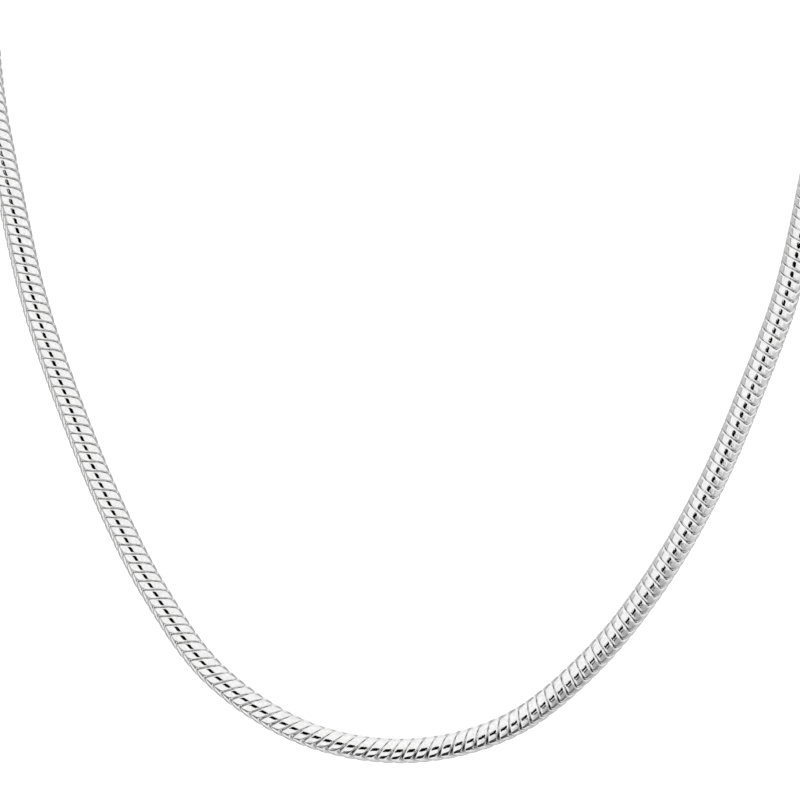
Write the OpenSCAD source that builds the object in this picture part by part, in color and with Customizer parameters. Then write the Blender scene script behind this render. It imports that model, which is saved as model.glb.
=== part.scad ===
// Round snake chain, worn round the neck, with a plain barrel clasp at the nape.
// +Z is up, +X is to the right as the front is seen, and the front faces -Y.
// The origin is where the clasp rests on the nape.

/* [Chain] */
// Diameter of the chain
chain_d = 4; // [2.5:0.5:5]
// Flat sides round the chain's solid
chain_sides = 12; // [8:1:12]
// Rings of the chain's solid on each span of its route
rings_per_span = 2; // [1:1:2]

/* [Clasp] */
// Length of the clasp's barrel
clasp_len = 18; // [12:1:24]
// Wall of the barrel round each socket
clasp_wall = 0.8; // [0.7:0.1:1.5]
// Metal between the two sockets
clasp_web = 2; // [1:0.5:4]
// Bevel on the barrel's outer edges
clasp_bevel = 0.5; // [0.2:0.1:0.6]
// Clearance round each chain end, and behind it, in its socket
socket_gap = 0.2; // [0.1:0.05:0.3]

/* [Hidden] */

socket_d = chain_d + 2 * socket_gap;
clasp_d = socket_d + 2 * clasp_wall;
// The barrel touches the nape, so its axis lies half its diameter behind the origin
nape_y = clasp_d / 2;
// Half of the web, and where each end of the chain stops
web_half = clasp_web / 2;
end_x = web_half + socket_gap;
// The chain runs straight out of the barrel, this far past its mouth
lead_out = 4;
straight_x = clasp_len / 2 + lead_out;
// The way that the whole loop faces, square to a line from the nape to the lowest link
loop_facing = [0, -0.82, 0.57];
barrel_fn = 64;

// Route of the chain's centre line round the neck, from the left side of the nape,
// down the left of the front, through the lowest link and up the right
route = [
    [-28, -0.5, -2], [-40.5, -8.5, -6], [-51, -20, -12], [-58.5, -32.5, -18.5],
    [-63, -46, -25], [-65, -59.5, -32.5], [-65, -72, -41.5], [-64, -83, -53],
    [-62.5, -90.5, -67], [-59.5, -95, -82], [-56, -98, -97], [-51, -101, -111.5],
    [-45, -104, -126], [-38, -106.5, -139.5], [-29, -109, -151.5], [-15.5, -110.5, -160],
    [0, -111, -162.5],
    [15, -110.5, -158.7], [27.2, -108.5, -149.2], [36.9, -106, -137.2], [44.6, -103.5, -124],
    [50.7, -101, -110], [56.1, -98, -95.5], [59.6, -95, -80.5], [62.3, -90.5, -65.5],
    [64, -82.5, -52], [65, -71.5, -40.5], [65, -59, -32], [63, -46, -25],
    [58.5, -32.5, -18.5], [51, -20, -12], [40.5, -8.5, -6], [28, -0.5, -2],
];

function unit(v) = v / norm(v);

// A point on the smooth curve between b and c, where a and d are the points beside them
function spline(a, b, c, d, t) =
    (2 * b + (c - a) * t + (2 * a - 5 * b + 4 * c - d) * t * t
     + (3 * b - a - 3 * c + d) * t * t * t) / 2;

// The point past a straight end that keeps the curve along X there
function past_end(last, before) = [2 * last.x - before.x, before.y, before.z];

nape_left = [-straight_x, nape_y, 0];
nape_right = [straight_x, nape_y, 0];
way = concat(
    [past_end(nape_left, route[0]), nape_left], route,
    [nape_right, past_end(nape_right, route[len(route) - 1])]
);

curve = [
    for (i = [1 : len(way) - 3], k = [0 : rings_per_span - 1])
        spline(way[i - 1], way[i], way[i + 1], way[i + 2], k / rings_per_span)
];
centres = concat([[-end_x, nape_y, 0]], curve, [nape_right, [end_x, nape_y, 0]]);
last_ring = len(centres) - 1;

function tangent(i) = unit(centres[min(i + 1, last_ring)] - centres[max(i - 1, 0)]);

// One ring of the chain's solid, square to its route
function ring(centre, along) =
    let (front = unit(loop_facing - (loop_facing * along) * along), side = cross(along, front))
    [for (k = [0 : chain_sides - 1])
        centre + chain_d / 2 * (cos(360 * k / chain_sides) * front + sin(360 * k / chain_sides) * side)];

function corner(i, k) = i * chain_sides + k % chain_sides;

module chain() {
    points = [for (i = [0 : last_ring]) each ring(centres[i], tangent(i))];
    walls = [
        for (i = [0 : last_ring - 1], k = [0 : chain_sides - 1], half = [0, 1])
            half == 0 ? [corner(i, k), corner(i + 1, k), corner(i + 1, k + 1)]
                      : [corner(i, k), corner(i + 1, k + 1), corner(i, k + 1)]
    ];
    first_end = [for (k = [0 : chain_sides - 1]) corner(0, k)];
    last_end = [for (k = [chain_sides - 1 : -1 : 0]) corner(last_ring, k)];
    color("silver") polyhedron(points, concat(walls, [first_end, last_end]));
}

// The barrel's section on one side of the web's middle, from its outside to the web's face
half_section = [
    [clasp_d / 2, clasp_len / 2 - clasp_bevel],
    [clasp_d / 2 - clasp_bevel, clasp_len / 2],
    [socket_d / 2, clasp_len / 2],
    [socket_d / 2, web_half],
    [0, web_half],
];

module clasp() {
    other_half = [for (i = [len(half_section) - 1 : -1 : 0]) [half_section[i].x, -half_section[i].y]];
    color("silver")
        translate([0, nape_y, 0])
            rotate([0, 90, 0])
                rotate_extrude($fn = barrel_fn)
                    polygon(concat(half_section, other_half));
}

chain();
clasp();
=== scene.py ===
# Round snake chain, worn round the neck, with a plain barrel clasp at the nape.
# Metres, +Z up, and the front faces -Y. The origin is where the clasp rests on the nape.

import math

import bpy
import numpy as np
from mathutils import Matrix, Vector


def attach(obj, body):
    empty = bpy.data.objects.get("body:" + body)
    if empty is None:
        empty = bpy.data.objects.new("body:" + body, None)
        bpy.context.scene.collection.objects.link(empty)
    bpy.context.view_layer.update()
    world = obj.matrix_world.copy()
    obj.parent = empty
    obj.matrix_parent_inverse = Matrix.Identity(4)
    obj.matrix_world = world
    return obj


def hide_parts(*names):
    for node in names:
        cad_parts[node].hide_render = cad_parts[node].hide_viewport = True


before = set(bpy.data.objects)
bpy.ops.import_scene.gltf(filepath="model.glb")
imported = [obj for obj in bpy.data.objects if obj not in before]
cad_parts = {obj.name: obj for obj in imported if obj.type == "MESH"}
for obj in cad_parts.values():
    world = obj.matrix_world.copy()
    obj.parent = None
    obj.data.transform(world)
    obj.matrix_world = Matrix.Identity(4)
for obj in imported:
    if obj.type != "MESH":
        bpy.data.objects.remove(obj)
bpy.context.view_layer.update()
scene = bpy.context.scene
MM = 0.001

# Camera: the photograph's viewing angle and frame
# The front of the necklace leans back from its lowest link by 1 in 5, and the camera faces it
# squarely
FRONT_LEAN = math.atan(0.2)
CAMERA_DISTANCE = 1.3
CAMERA_SEES_TO = 20
FRAME_WIDTH = 0.1193
SENSOR_WIDTH = 36
LOWEST_LINK = Vector((0, -111, -162)) * MM
# The frame's centre lies this far above the lowest link, and this far left of it
CENTRE_ABOVE = 51.8 * MM
CENTRE_LEFT = 1.55 * MM

# Chain: the distance from ring to ring, and the gap between their faces
CHAIN_RADIUS = 2 * MM
PITCH = 1.62 * MM
GAP = 0.10 * MM
HALF_PLATE = (PITCH - GAP) / 2
# How far the middles of the first and the last ring lie from the ends of the centre line
FIRST_RING = 1.9 * MM
LAST_RING = 2.6 * MM
# Steps of the centre line from one point of its route to the next, pieces that the rings are
# joined into, and the angle between two faces from which their edge is shaded sharp
STEPS_PER_SPAN = 24
PIECES = 8
SHARP_ANGLE = math.radians(50)

# Turns are angles round the chain from its front, positive towards the inner side of the loop.
# The seams zigzag between corners at these turns
OUTER_CORNER = math.radians(-41)
INNER_CORNER = math.radians(75)
BACK_CORNERS = (math.radians(156), math.radians(237))
SEAM_CORNERS = (OUTER_CORNER, INNER_CORNER, *BACK_CORNERS, OUTER_CORNER + 2 * math.pi)
SEAM_ZIGZAG = (-1, 1, -1, 1, -1)
# How far apart along the chain the corners lie, and how sharp they are, up to 1
SEAM_SWING = 1.6 * MM
SEAM_SHARPNESS = 0.995
# Steps round a ring from each corner to the next, over its front first
CORNER_STEPS = (15, 11, 11, 11)

# Face of a ring. Its shares of half a plate from the middle, where the section has points
FACE_SHARES = (0.44, 0.69, 0.81, 0.90, 0.96)
# How far it curves down at its leading and its trailing edge. A higher power keeps it flat longer
LEAD_CROWN = 0.22 * MM
LEAD_POWER = 9
TAIL_CROWN = 0.20 * MM
TAIL_POWER = 12
# How much deeper its edges lie on the inner and the outer side of the loop. That grows with a
# power of the turn's sine round the chain, and with one of the place on the face along it
SIDE_CROWN = 0.18 * MM
SIDE_POWER = 4
EDGE_POWER = 4
# How far an edge stands out at the tip of a corner, and lies back where a corner is cut into it
TIP_FLARE = 0.05 * MM
TIP_POWER = 3

# Rest of a ring's section, in millimetres under its face: the tops of its edges, its wall, and
# the flange behind its trailing edge
LEAD_EDGE = 0.28
TAIL_EDGE = 0.26
WALL = 0.28
FLANGE = 0.38
# The lip that reaches under the next ring: its root, its dip, its hook's top and its underside
LIP_ROOT = 0.42
LIP_DIP = 0.52
HOOK_TOP = 0.35
LIP_UNDER = 0.62
# How far past the leading edge its dip, its hook and its end lie
DIP_AT = 0.62
HOOK_FROM = 0.66
HOOK_TO = 0.82
LIP_END = 0.84
# Where the inside turns, as shares of half a plate from the middle: ahead of it at the lip's
# foot, and behind it from the hollow to the flange
LIP_FOOT = 0.25
HOLLOW_TO = 0.55
FLANGE_FROM = 0.65

# The rings lie wider apart than the mean by this share where the chain runs level, and as much
# closer where it hangs. They are thinner by the other share where it runs level than where it
# hangs, and as thick as the CAD's chain where the square of its direction's X part is the third
LEVEL_STRETCH = 0.115
LEVEL_THINNER = 0.09
LEVEL_OF_CAD = 0.25
# How much of that greater distance the rings take up themselves, at sines of the turn: least on
# the outer side of the bend, where their gaps open
TURN_SINES = (-0.75, -0.1, 1)
TAKEN_UP = (0, 0.55, 0.62)
# The rings lean, their inner side ahead, by the first angle where the chain runs level, and back
# by as much where it hangs. At a slant they lean by up to half of the second besides, ahead
# where the chain falls to the right, and back where it rises to the right
LEAN_LEVEL = math.radians(6.5)
LEAN_SLANT = math.radians(21)
# Small differences from ring to ring
SEED = 5
UNEVEN_LEAN = math.radians(0.5)
UNEVEN_TURN = math.radians(1.2)
UNEVEN_PLACE = 0.015 * MM
UNEVEN_GAP = 0.015 * MM
# Slips along the chain fade and leans grow with this power of its direction's X part
UNEVEN_POWER = 4

# How much painted shade the seams get for each millimetre of depth, at turns from the front or from
# the back.
# The painted shade is slight at the front, and again past their corners
SEAM_TURNS = np.radians((-54, -40, -9, 0, 9, 22, 60, 80))
SEAM_DARK = (0, 0.15, 0.16, 0.02, 0.15, 0.10, 0.09, 0)
# How much more painted shade the seams get on the outer side of the bend, where they gape: most a
# little way up the right side, and unevenly from ring to ring
GAPING = 12
GAPING_UNEVEN = (0.3, 1.9)
GAPING_TURN = math.radians(15)
GAPING_POWER = 6
# The leading half of each ring keeps only this share of the painted shade, a painted highlight along
# one side of each seam
BRIGHT_EDGE = 0.4

# Clasp and the straight run of the chain into it, in millimetres, as in the CAD
NAPE_Y = 3
STRAIGHT_X = 13
END_X = 1.2

# Route of the chain's centre line round the neck in millimetres, from the left side of the
# nape, down the left of the front, through the lowest link and up the right
ROUTE = [
    (-28, -0.5, -2), (-40.5, -8.5, -6), (-51, -20, -12), (-58.5, -32.5, -18.5),
    (-63, -46, -25), (-65, -59.5, -32.5), (-65, -72, -41.5), (-64, -83, -53),
    (-62.5, -90.5, -67), (-59.5, -95, -82), (-56, -98, -97), (-51, -101, -111.5),
    (-45, -104, -126), (-38, -106.5, -139.5), (-29, -109, -151.5), (-15.5, -110.5, -160),
    (0, -111, -162.5),
    (15, -110.5, -158.7), (27.2, -108.5, -149.2), (36.9, -106, -137.2), (44.6, -103.5, -124),
    (50.7, -101, -110), (56.1, -98, -95.5), (59.6, -95, -80.5), (62.3, -90.5, -65.5),
    (64, -82.5, -52), (65, -71.5, -40.5), (65, -59, -32), (63, -46, -25),
    (58.5, -32.5, -18.5), (51, -20, -12), (40.5, -8.5, -6), (28, -0.5, -2),
]

# Silver: its fine noise, how rough and how bumpy it is, and how much noise is added to the painted
# seam shade
GRAIN_SCALE = 2200
GRAIN_DETAIL = 3
ROUGHNESS = (0.04, 0.10)
BUMP_STRENGTH = 0.5
BUMP_HEIGHT = 0.02 * MM
STAIN = 0.16
# Colours along a ramp, each with its place. The rings' go from bare silver to the dark of the painted
# seam shade
RING_SHADES = (
    (0.05, (0.96, 0.96, 0.955, 1)),
    (0.20, (0.62, 0.62, 0.63, 1)),
    (0.50, (0.10, 0.10, 0.105, 1)),
)
CLASP_SHADES = (
    (0, (0.90, 0.90, 0.89, 1)),
    (1, (0.95, 0.95, 0.945, 1)),
)

# Floor and lamp
FLOOR_SIZE = 12
FLOOR_Z = -0.24
FLOOR_COLOUR = (0.92, 0.92, 0.92, 1)
FLOOR_ROUGHNESS = 0.9
LAMP_PLACE = (0, 0.3, 2.6)
LAMP_SIZE = 2.0
LAMP_POWER = 24

# Surround, as the silver mirrors it. The scale of its noise, and brightnesses that follow the
# noise: the brightness where the noise is 0, and how much it adds
SURROUND_NOISE = 3.5
SOFT_WHITE = (0.88, 0.26)
MOTTLED = (-0.12, 1.7)
FAR_MOTTLED = (-0.15, 1.4)
# It is soft white, then grey far from the camera's direction, and white again straight behind
# the necklace. Each change runs between two angles, in degrees, from the camera's direction
GREY_FROM = (112, 120)
GREY = 0.42
WHITE_FROM = (164, 172)
WHITE = 1.0
# The dark place where the camera stands, which the middle of each link mirrors as a dark dash
DARK_TO = (12, 14.5)
DARK = 0.0
# Cards: from how near the camera's direction to how far from it, the turn round it from the right
# towards the top, half the width as seen from the middle, and the softness of the edges, all in
# degrees, then the brightness. Each covers the ones before it
FAR_CARDS = (
    (106, 175, 90, 26, 8, 0.95),
    (97, 128, -72, 30, 6, 0.76),
    (128, 165, -72, 36, 6, 0.50),
    (88, 156, -24, 30, 8, FAR_MOTTLED),
    (25, 95, -40, 30, 10, MOTTLED),
    (14, 86, -39, 12, 6, 0.46),
    (90, 160, 166, 22, 9, 0.62),
    (78, 93, 200, 60, 4, 0.45),
    (78, 92, 244, 18, 5, 0.17),
)
# Two dark cards that widen the dark place above and to the left, a light one between them, and
# below to the right a dark one apart from it, with a light one in the gap, for a second dash
DASH_CARDS = (
    (10, 16.5, 95, 22, 2, 0.02),
    (10, 18, 162, 15, 2, 0.02),
    (7.5, 18, 136, 10, 1.5, 0.90),
    (14.5, 27, -43, 12, 1.5, 0.05),
    (8, 14.5, -45, 11, 1.5, 0.90),
)
# A dark strip low in front, for the thick dashes of the lowest links: on a level plane, from how
# near to how far ahead it lies, and where it fades in and out from the left to the right, all as
# shares of how far the plane is below
STRIP_AHEAD = (0.30, 1.12)
STRIP_FADES_IN = (-0.4, 0.0)
STRIP_FADES_OUT = (0.1, 2.6)
STRIP = 0.01
# Directions closer than this to level don't meet the plane
LEAST_DOWN = 0.001


def towards_camera():
    """Unit vector from the object to the camera."""
    return Vector((0, -math.cos(FRONT_LEAN), math.sin(FRONT_LEAN)))


def add_camera():
    up = Vector((0, math.sin(FRONT_LEAN), math.cos(FRONT_LEAN)))
    target = LOWEST_LINK + up * CENTRE_ABOVE
    target.x -= CENTRE_LEFT
    data = bpy.data.cameras.new("camera")
    data.sensor_width = SENSOR_WIDTH
    data.lens = SENSOR_WIDTH * CAMERA_DISTANCE / FRAME_WIDTH
    data.clip_end = CAMERA_SEES_TO
    camera = bpy.data.objects.new("camera", data)
    scene.collection.objects.link(camera)
    camera.location = target + towards_camera() * CAMERA_DISTANCE
    camera.rotation_euler = (-towards_camera()).to_track_quat("-Z", "Y").to_euler()
    scene.camera = camera


# Route of the chain and places of its rings


def spline(a, b, c, d, t):
    """A point on the smooth curve between b and c, where a and d are the points beside them."""
    return (
        2 * b + (c - a) * t + (2 * a - 5 * b + 4 * c - d) * t**2
        + (3 * b - a - 3 * c + d) * t**3
    ) / 2


def past_end(last, before):
    """The point past a straight end that keeps the curve along X there."""
    return np.array((2 * last[0] - before[0], before[1], before[2]))


def centre_line():
    """Points along the chain's centre line, from its left end in the clasp to its right one."""
    route = [np.array(p, float) for p in ROUTE]
    left = np.array((-STRAIGHT_X, NAPE_Y, 0.0))
    right = np.array((STRAIGHT_X, NAPE_Y, 0.0))
    way = [past_end(left, route[0]), left, *route, right, past_end(right, route[-1])]
    points = [np.array((-END_X, NAPE_Y, 0.0))]
    for i in range(1, len(way) - 2):
        for k in range(STEPS_PER_SPAN):
            points.append(spline(*way[i - 1:i + 3], k / STEPS_PER_SPAN))
    points += [right, np.array((END_X, NAPE_Y, 0.0))]
    return np.array(points) * MM


def unit(v):
    return v / np.linalg.norm(v, axis=-1, keepdims=True)


def columns_at(places, travelled, values):
    """The rows of values at places along the centre line, each column by itself."""
    return np.stack([np.interp(places, travelled, values[:, k]) for k in range(3)], 1)


def lay_rings():
    """Each ring's centre, its ways along the chain and to the front, and its share of the pitch."""
    line = centre_line()
    steps = np.linalg.norm(np.diff(line, axis=0), axis=1)
    travelled = np.concatenate([[0], np.cumsum(steps)])
    tangents = unit(np.gradient(line, axis=0))
    stretched = 1 + LEVEL_STRETCH * (tangents[:, 0] ** 2 - tangents[:, 2] ** 2)
    per_step = steps / (PITCH * (stretched[1:] + stretched[:-1]) / 2)
    numbers = np.concatenate([[0], np.cumsum(per_step)])
    start, end = np.interp((FIRST_RING, travelled[-1] - LAST_RING), travelled, numbers)
    places = np.interp(np.linspace(start, end, round(end - start) + 1), numbers, travelled)
    centres = columns_at(places, travelled, line)
    alongs = unit(columns_at(places, travelled, tangents))
    facing = np.array(towards_camera())
    fronts = unit(facing - (alongs @ facing)[:, None] * alongs)
    return centres, alongs, fronts, np.interp(places, travelled, stretched)


# Rings


def zigzag(turn):
    """The seam's wave round a ring: -1 and 1 at its corners."""
    straight = np.interp(turn, SEAM_CORNERS, SEAM_ZIGZAG)
    return np.arcsin(SEAM_SHARPNESS * np.sin(math.pi / 2 * straight)) / math.asin(SEAM_SHARPNESS)


def ring_turns():
    """The turns at which a ring has points, its seam's corners among them."""
    spans = zip(SEAM_CORNERS[:-1], SEAM_CORNERS[1:], CORNER_STEPS)
    return np.concatenate([np.linspace(a, b, n, endpoint=False) for a, b, n in spans])


def ring_profile():
    """The section of a ring, from the trailing edge over its face and back under its lip.

    Each row says how far along the chain and how deep a point lies, how close it is to the edge,
    from -1 for the trailing one to 1 for the leading one, and how much it sinks at the sides.
    """
    tail_half = [
        (-u * HALF_PLATE, TAIL_CROWN * u**TAIL_POWER, -u, u**EDGE_POWER)
        for u in reversed(FACE_SHARES)
    ]
    lead_half = [
        (u * HALF_PLATE, LEAD_CROWN * u**LEAD_POWER, u, u**EDGE_POWER) for u in FACE_SHARES
    ]
    face = tail_half + [(0, 0, 0, 0)] + lead_half
    h = HALF_PLATE / MM
    lip = [
        (h, LEAD_EDGE, 1, 1), (h, LIP_ROOT, 0, 1), (h + DIP_AT, LIP_DIP, 0, 1),
        (h + HOOK_FROM, HOOK_TOP, 0, 1), (h + HOOK_TO, HOOK_TOP, 0, 1), (h + LIP_END, LIP_UNDER, 0, 1),
    ]
    inside = [(LIP_FOOT * h, LIP_UNDER, 0, 1), (0, WALL, 0, 0), (-HOLLOW_TO * h, WALL, 0, 0)]
    flange = [(-FLANGE_FROM * h, FLANGE, 0, 1), (-h, FLANGE, 0, 1), (-h, TAIL_EDGE, -1, 1)]
    rest = [(a * MM, b * MM, flare, sink) for a, b, flare, sink in lip + inside + flange]
    return np.array(face + rest)


def painted_seam_shade(depth, turns, edge, gape):
    """How much painted seam shade each point of a ring gets. The back is like the front."""
    from_middle = (turns + math.pi / 2) % math.pi - math.pi / 2
    painted_shade = depth / MM * np.interp(from_middle, SEAM_TURNS, SEAM_DARK)
    painted_shade = painted_shade * (1 + gape * np.maximum(0, -np.sin(turns)))
    # Painted highlight: the leading half of each ring keeps less of the painted seam shade
    return np.where(edge > 0, BRIGHT_EDGE * painted_shade, painted_shade)


def ring_points(profile, turns, centre, along, front, lean, stretch, size, gape):
    """The points of one ring, in rows round the chain, and the painted seam shade of each one."""
    inner = np.cross(front, along)
    wave = zigzag(turns)
    reach, depth, edge, sink = (profile[:, k, None] for k in range(4))
    shift = SEAM_SWING / 2 * wave + CHAIN_RADIUS * math.tan(lean) * np.sin(turns)
    # Where the rings lie closer together than the mean, each is shorter by the same share
    longer = 1 + (stretch - 1) * np.interp(np.sin(turns), TURN_SINES, TAKEN_UP)
    longer = np.minimum(longer, stretch)
    ahead = shift[None, :] + reach * longer[None, :]
    depth = depth + SIDE_CROWN * sink * np.sin(turns)[None, :] ** SIDE_POWER
    radius = size * CHAIN_RADIUS - depth + TIP_FLARE * edge * wave[None, :] ** TIP_POWER
    out = np.cos(turns)[:, None] * front + np.sin(turns)[:, None] * inner
    points = centre + ahead[..., None] * along + radius[..., None] * out[None]
    return points, painted_seam_shade(depth, turns, edge, gape)


def ring_faces(rows, columns):
    """The quads of one ring, closed round its section and round the chain."""
    i, j = np.meshgrid(np.arange(rows), np.arange(columns), indexing="ij")
    next_i, next_j = (i + 1) % rows, (j + 1) % columns
    quads = np.stack(
        [i * columns + j, next_i * columns + j, next_i * columns + next_j, i * columns + next_j], -1
    )
    return quads.reshape(-1, 4)


def make_rings():
    """The points and the painted seam shade of every ring, with small differences from ring to ring.
    """
    centres, alongs, fronts, stretches = lay_rings()
    level, rise = alongs[:, 0], alongs[:, 2]
    leans = LEAN_LEVEL * (level**2 - rise**2) - LEAN_SLANT * level * rise
    sizes = 1 + LEVEL_THINNER * (LEVEL_OF_CAD - level**2)
    bend = level * math.cos(GAPING_TURN) + rise * math.sin(GAPING_TURN)
    gapes = GAPING * np.maximum(0, bend) ** GAPING_POWER
    one_each = (len(centres), 1)
    chance = np.random.default_rng(SEED)
    centres = centres + chance.uniform(-UNEVEN_PLACE, UNEVEN_PLACE, centres.shape)
    slips = chance.uniform(-UNEVEN_GAP, UNEVEN_GAP, one_each) * (1 - level[:, None] ** UNEVEN_POWER)
    centres = centres + slips * alongs
    leans = leans + chance.uniform(-UNEVEN_LEAN, UNEVEN_LEAN, leans.shape) * (1 + level**UNEVEN_POWER)
    twists = chance.uniform(-UNEVEN_TURN, UNEVEN_TURN, one_each)
    fronts = np.cos(twists) * fronts + np.sin(twists) * np.cross(fronts, alongs)
    gapes = gapes * chance.uniform(*GAPING_UNEVEN, gapes.shape)
    profile = ring_profile()
    turns = ring_turns()
    rows = zip(centres, alongs, fronts, leans, stretches, sizes, gapes)
    return [ring_points(profile, turns, *row) for row in rows]


def mesh_object(name, points, faces, painted_shade):
    """A piece with smooth shading, and the painted seam shade of its points as the attribute depth."""
    mesh = bpy.data.meshes.new(name)
    mesh.from_pydata(points, [], faces)
    # The attribute depth holds painted seam shade, which darkens the silver's colour
    attribute = mesh.attributes.new("depth", "FLOAT", "POINT")
    attribute.data.foreach_set("value", painted_shade)
    mesh.shade_smooth()
    mesh.set_sharp_from_angle(angle=SHARP_ANGLE)
    obj = bpy.data.objects.new(name, mesh)
    scene.collection.objects.link(obj)
    return obj


def add_links(material):
    """The rings, joined into a few pieces, shown in place of the CAD's tube, which is hidden."""
    rings = make_rings()
    rows, columns = rings[0][1].shape
    faces = ring_faces(rows, columns)
    for number, group in enumerate(np.array_split(np.arange(len(rings)), PIECES), 1):
        points = np.concatenate([rings[i][0].reshape(-1, 3) for i in group])
        painted_shade = np.concatenate([rings[i][1].ravel() for i in group])
        quads = np.concatenate([faces + k * rows * columns for k in range(len(group))])
        obj = mesh_object(f"chain_links_{number}", points, quads, painted_shade)
        obj.data.materials.append(material)
        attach(obj, "root")
        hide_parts("chain")


def dress_clasp(material):
    """The clasp keeps its CAD shape."""
    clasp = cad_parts["clasp"]
    clasp.data.materials.clear()
    clasp.data.materials.append(material)


# Materials


def new_material(name):
    material = bpy.data.materials.new(name)
    material.use_nodes = True
    return material, material.node_tree.nodes["Principled BSDF"]


def colour_ramp(nodes, shades):
    """A colour ramp through shades, each of which is a place and a colour."""
    ramp = nodes.new("ShaderNodeValToRGB")
    elements = ramp.color_ramp.elements
    for element, (place, colour) in zip(elements, (shades[0], shades[-1])):
        element.position = place
        element.color = colour
    for place, colour in shades[1:-1]:
        elements.new(place).color = colour
    return ramp


def silver(name, shades, darkens=False):
    """Polished silver with a fine noise in its roughness, bump and colour.

    Where it darkens, it takes painted seam shade from the attribute depth, and the noise adds a little
    to that.
    """
    material, shader = new_material(name)
    nodes, wires = material.node_tree.nodes, material.node_tree.links
    shader.inputs["Metallic"].default_value = 1
    coords = nodes.new("ShaderNodeTexCoord")
    noise = nodes.new("ShaderNodeTexNoise")
    noise.inputs["Scale"].default_value = GRAIN_SCALE
    noise.inputs["Detail"].default_value = GRAIN_DETAIL
    wires.new(coords.outputs["Object"], noise.inputs["Vector"])
    rough = nodes.new("ShaderNodeMapRange")
    rough.inputs["To Min"].default_value = ROUGHNESS[0]
    rough.inputs["To Max"].default_value = ROUGHNESS[1]
    wires.new(noise.outputs["Fac"], rough.inputs["Value"])
    wires.new(rough.outputs["Result"], shader.inputs["Roughness"])
    shade = noise.outputs["Fac"]
    if darkens:
        # Painted seam shade, read from the attribute depth, darkens the colour in the seams
        depth = nodes.new("ShaderNodeAttribute")
        depth.attribute_name = "depth"
        grain_and_seam_shade = nodes.new("ShaderNodeMath")
        grain_and_seam_shade.operation = "MULTIPLY_ADD"
        grain_and_seam_shade.inputs[1].default_value = STAIN
        wires.new(noise.outputs["Fac"], grain_and_seam_shade.inputs[0])
        wires.new(depth.outputs["Fac"], grain_and_seam_shade.inputs[2])
        shade = grain_and_seam_shade.outputs[0]
    tint = colour_ramp(nodes, shades)
    wires.new(shade, tint.inputs["Fac"])
    wires.new(tint.outputs["Color"], shader.inputs["Base Color"])
    bump = nodes.new("ShaderNodeBump")
    bump.inputs["Strength"].default_value = BUMP_STRENGTH
    bump.inputs["Distance"].default_value = BUMP_HEIGHT
    wires.new(noise.outputs["Fac"], bump.inputs["Height"])
    wires.new(bump.outputs["Normal"], shader.inputs["Normal"])
    return material


def floor_material():
    material, shader = new_material("floor")
    shader.inputs["Base Color"].default_value = FLOOR_COLOUR
    shader.inputs["Roughness"].default_value = FLOOR_ROUGHNESS
    shader.inputs["Specular IOR Level"].default_value = 0.0
    return material


# Floor, surround and lamp. The silver mirrors the surround and itself, and not the other two


def add_floor():
    bpy.ops.mesh.primitive_plane_add(size=FLOOR_SIZE, location=(0, 0, FLOOR_Z))
    floor = bpy.context.object
    floor.name = "floor"
    floor.data.materials.append(floor_material())
    floor.visible_glossy = False


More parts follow.
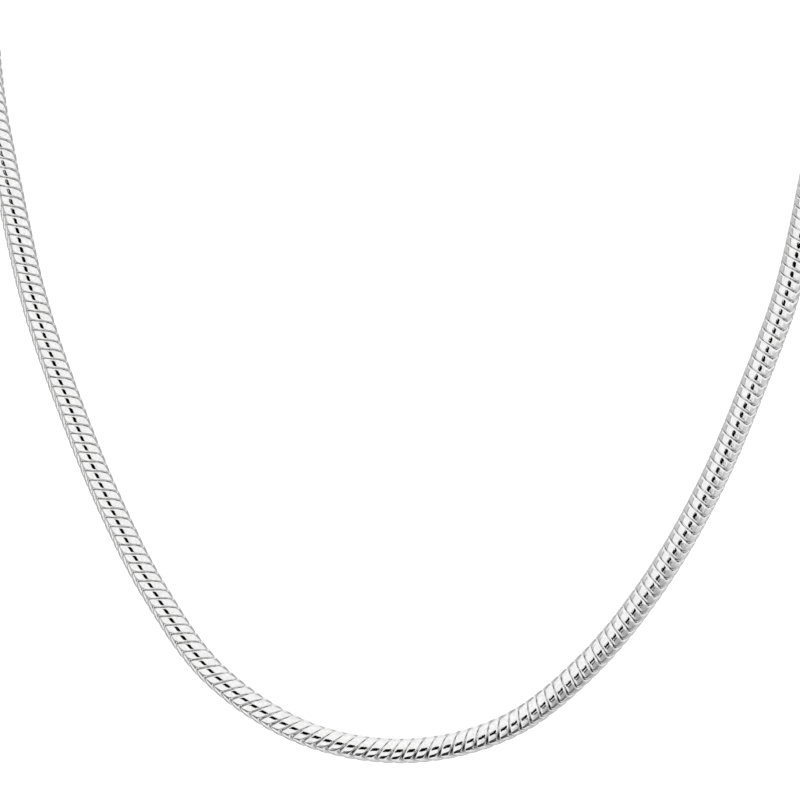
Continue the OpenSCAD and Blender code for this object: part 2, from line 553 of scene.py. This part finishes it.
class Surround:
    """Nodes that work out how bright a world is in each direction."""

    def __init__(self, world):
        self.nodes = world.node_tree.nodes
        self.wires = world.node_tree.links
        self.direction = self.nodes.new("ShaderNodeTexCoord").outputs["Generated"]
        noise = self.nodes.new("ShaderNodeTexNoise")
        noise.inputs["Scale"].default_value = SURROUND_NOISE
        self.wires.new(self.direction, noise.inputs["Vector"])
        self.noise = noise.outputs["Fac"]
        self.right = Vector((1, 0, 0))
        self.up = self.right.cross(-towards_camera())
        self.away = self.calc("ARCCOSINE", self.dot(towards_camera()))
        self.sine_away = self.calc("SINE", self.away)

    def plug(self, value, socket):
        """Set a socket to a number, or wire another node's output to it."""
        if isinstance(value, (int, float)):
            socket.default_value = value
        else:
            self.wires.new(value, socket)

    def calc(self, operation, a, b=0.0):
        node = self.nodes.new("ShaderNodeMath")
        node.operation = operation
        self.plug(a, node.inputs[0])
        self.plug(b, node.inputs[1])
        return node.outputs[0]

    def dot(self, direction):
        """How far each direction goes along the given one."""
        node = self.nodes.new("ShaderNodeVectorMath")
        node.operation = "DOT_PRODUCT"
        self.wires.new(self.direction, node.inputs[0])
        node.inputs[1].default_value = direction
        return node.outputs["Value"]

    def step(self, value, low, high):
        """0 below low and 1 above high, with a smooth rise between them."""
        node = self.nodes.new("ShaderNodeMapRange")
        node.interpolation_type = "SMOOTHSTEP"
        self.wires.new(value, node.inputs["Value"])
        node.inputs["From Min"].default_value = low
        node.inputs["From Max"].default_value = high
        return node.outputs["Result"]

    def angle_step(self, angle, low, high):
        """The same for an angle, with low and high in degrees."""
        return self.step(angle, math.radians(low), math.radians(high))

    def mix(self, mask, under, over):
        kept = self.calc("MULTIPLY", self.calc("SUBTRACT", 1.0, mask), under)
        return self.calc("ADD", self.calc("MULTIPLY", mask, over), kept)

    def noisy(self, least, added):
        """A brightness that follows the noise."""
        return self.calc("ADD", least, self.calc("MULTIPLY", self.noise, added))

    def card(self, light, near, far, turn, half_width, soft, brightness):
        """The light with a card in front of it, part of a ring round the camera's direction."""
        if isinstance(brightness, tuple):
            brightness = self.noisy(*brightness)
        turn = math.radians(turn)
        aside = self.dot(self.right * math.cos(turn) + self.up * math.sin(turn))
        share = self.calc("MINIMUM", self.calc("DIVIDE", aside, self.sine_away), 1.0)
        side = self.calc("ARCCOSINE", share)
        past_side = self.angle_step(side, half_width - soft, half_width + soft)
        inside = self.calc("SUBTRACT", 1.0, past_side)
        past_near = self.angle_step(self.away, near - soft, near + soft)
        past_far = self.angle_step(self.away, far - soft, far + soft)
        ring = self.calc("SUBTRACT", past_near, past_far)
        return self.mix(self.calc("MULTIPLY", inside, ring), light, brightness)

    def strip(self, light):
        """The light with the dark strip in front of it."""
        near, far = STRIP_AHEAD
        down = self.calc("MAXIMUM", self.dot((0, 0, -1)), LEAST_DOWN)
        ahead = self.calc("DIVIDE", self.dot((0, -1, 0)), down)
        aside = self.calc("DIVIDE", self.dot((1, 0, 0)), down)
        past_near = self.calc("GREATER_THAN", ahead, near)
        inside = self.calc("MULTIPLY", past_near, self.calc("LESS_THAN", ahead, far))
        fade_in = self.step(aside, *STRIP_FADES_IN)
        fade_out = self.step(aside, *STRIP_FADES_OUT)
        fade = self.calc("SUBTRACT", fade_in, fade_out)
        return self.mix(self.calc("MULTIPLY", inside, fade), light, STRIP)


def world_light():
    """Soft white light from all round, with a dark place where the camera stands and grey cards."""
    world = bpy.data.worlds.new("studio")
    scene.world = world
    world.use_nodes = True
    surround = Surround(world)
    light = surround.noisy(*SOFT_WHITE)
    light = surround.mix(surround.angle_step(surround.away, *GREY_FROM), light, GREY)
    light = surround.mix(surround.angle_step(surround.away, *WHITE_FROM), light, WHITE)
    for card in FAR_CARDS:
        light = surround.card(light, *card)
    light = surround.strip(light)
    light = surround.mix(surround.angle_step(surround.away, *DARK_TO), DARK, light)
    for card in DASH_CARDS:
        light = surround.card(light, *card)
    surround.plug(light, surround.nodes["Background"].inputs["Color"])


def add_lamp():
    data = bpy.data.lights.new("softbox", "AREA")
    data.shape = "DISK"
    data.size = LAMP_SIZE
    data.energy = LAMP_POWER
    lamp = bpy.data.objects.new("softbox", data)
    scene.collection.objects.link(lamp)
    lamp.location = LAMP_PLACE
    lamp.visible_glossy = False


add_camera()
add_links(silver("polished_rings", RING_SHADES, darkens=True))
dress_clasp(silver("polished_clasp", CLASP_SHADES))
add_floor()
world_light()
add_lamp()
scene.view_settings.view_transform = "Standard"
